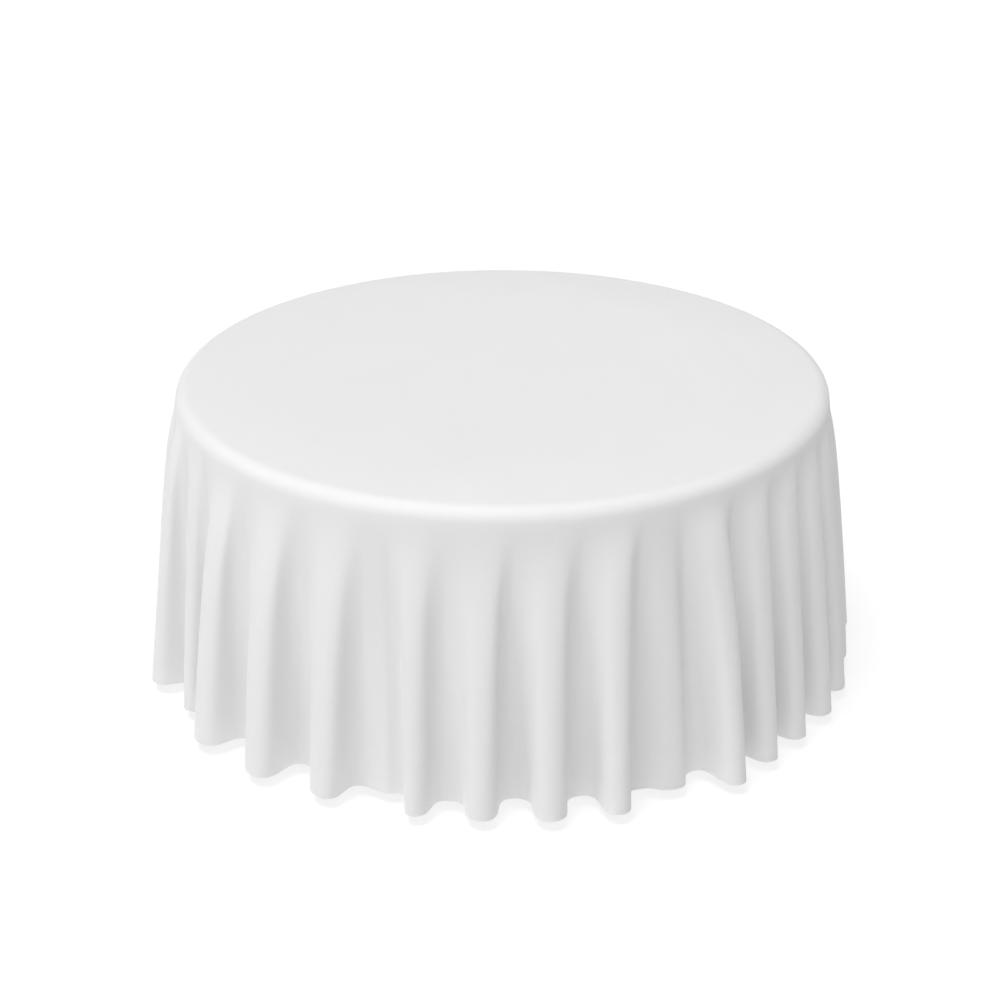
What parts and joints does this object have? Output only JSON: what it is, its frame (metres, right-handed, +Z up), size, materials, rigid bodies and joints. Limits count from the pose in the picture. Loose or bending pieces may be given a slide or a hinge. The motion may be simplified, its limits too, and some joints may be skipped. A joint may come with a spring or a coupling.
{
  "type": "round tablecloth on a folding banquet table",
  "caption": "Round white cloth hanging in soft folds to just above the floor over a round banquet table with folding tube leg frames and sliding braces.",
  "frame": {"origin": "on the floor, under the middle of the tabletop", "axes": "+Z up; +X and -X towards the two leg frames; -Y towards the front, +Y towards the rear rail"},
  "size_m": [1.8074, 1.7903, 0.7411],
  "materials": {
    "cloth": "matt plain weave, white",
    "label": "satin tape, white, blank",
    "resin": "fine textured moulded resin, off-white",
    "grey_steel": "grey powder coat",
    "zinc": "bright zinc plate",
    "rubber": "matt black rubber",
    "nylon": "natural nylon"
  },
  "bodies": {
    "table": {"tabletop": "resin", "rear_rail": "grey_steel", "front_rail": "grey_steel", "brace_channel_a": "grey_steel", "brace_channel_b": "grey_steel", "rail_screw_1": "zinc", "rail_screw_2": "zinc", "rail_screw_3": "zinc", "rail_screw_4": "zinc", "rail_screw_5": "zinc", "rail_screw_6": "zinc", "rail_screw_7": "zinc", "rail_screw_8": "zinc", "channel_screw_1": "zinc", "channel_screw_2": "zinc", "channel_screw_3": "zinc", "channel_screw_4": "zinc"},
    "leg_frame_a": {"leg_a_pivot_tube": "grey_steel", "leg_a_stretcher": "grey_steel", "leg_a_tube_front": "grey_steel", "leg_a_foot_front": "rubber", "leg_a_pivot_cap_front": "rubber", "leg_a_tube_rear": "grey_steel", "leg_a_foot_rear": "rubber", "leg_a_pivot_cap_rear": "rubber"},
    "brace_a": {"brace_a_bar": "zinc", "brace_a_pin": "zinc"},
    "rollers_a": {"brace_a_roller_front": "nylon", "brace_a_roller_rear": "nylon"},
    "leg_frame_b": {"leg_b_pivot_tube": "grey_steel", "leg_b_stretcher": "grey_steel", "leg_b_tube_front": "grey_steel", "leg_b_foot_front": "rubber", "leg_b_pivot_cap_front": "rubber", "leg_b_tube_rear": "grey_steel", "leg_b_foot_rear": "rubber", "leg_b_pivot_cap_rear": "rubber"},
    "brace_b": {"brace_b_bar": "zinc", "brace_b_pin": "zinc"},
    "rollers_b": {"brace_b_roller_front": "nylon", "brace_b_roller_rear": "nylon"},
    "cloth": {"tablecloth": "cloth", "care_label": "label"}
  },
  "joints": [
    {"name": "leg_a_fold", "type": "hinge", "parent": "table", "child": "leg_frame_a", "pos_m": [0.575, 0, 0.662], "axis": [0, 1, 0], "range_deg": [0, 90]},
    {"name": "brace_a_fold", "type": "hinge", "parent": "leg_frame_a", "child": "brace_a", "pos_m": [0.575, 0.03, 0.362], "axis": [0, 1, 0], "range_deg": [-137, 0]},
    {"name": "roller_a_spin", "type": "hinge", "parent": "brace_a", "child": "rollers_a", "pos_m": [0.29891, 0.03, 0.6785], "axis": [0, 1, 0], "continuous": true},
    {"name": "leg_b_fold", "type": "hinge", "parent": "table", "child": "leg_frame_b", "pos_m": [-0.575, 0, 0.662], "axis": [0, -1, 0], "range_deg": [0, 90]},
    {"name": "brace_b_fold", "type": "hinge", "parent": "leg_frame_b", "child": "brace_b", "pos_m": [-0.575, -0.03, 0.362], "axis": [0, -1, 0], "range_deg": [-137, 0]},
    {"name": "roller_b_spin", "type": "hinge", "parent": "brace_b", "child": "rollers_b", "pos_m": [-0.29891, -0.03, 0.6785], "axis": [0, -1, 0], "continuous": true},
    {"name": "cloth_lift", "type": "slide", "parent": "table", "child": "cloth", "axis": [0, 0, 1], "range_m": [0, 0.8]}
  ],
  "couplings": [
    {"joint": "brace_a_fold", "follows": "leg_a_fold", "ratio": -1.5183},
    {"joint": "brace_b_fold", "follows": "leg_b_fold", "ratio": -1.5183}
  ]
}
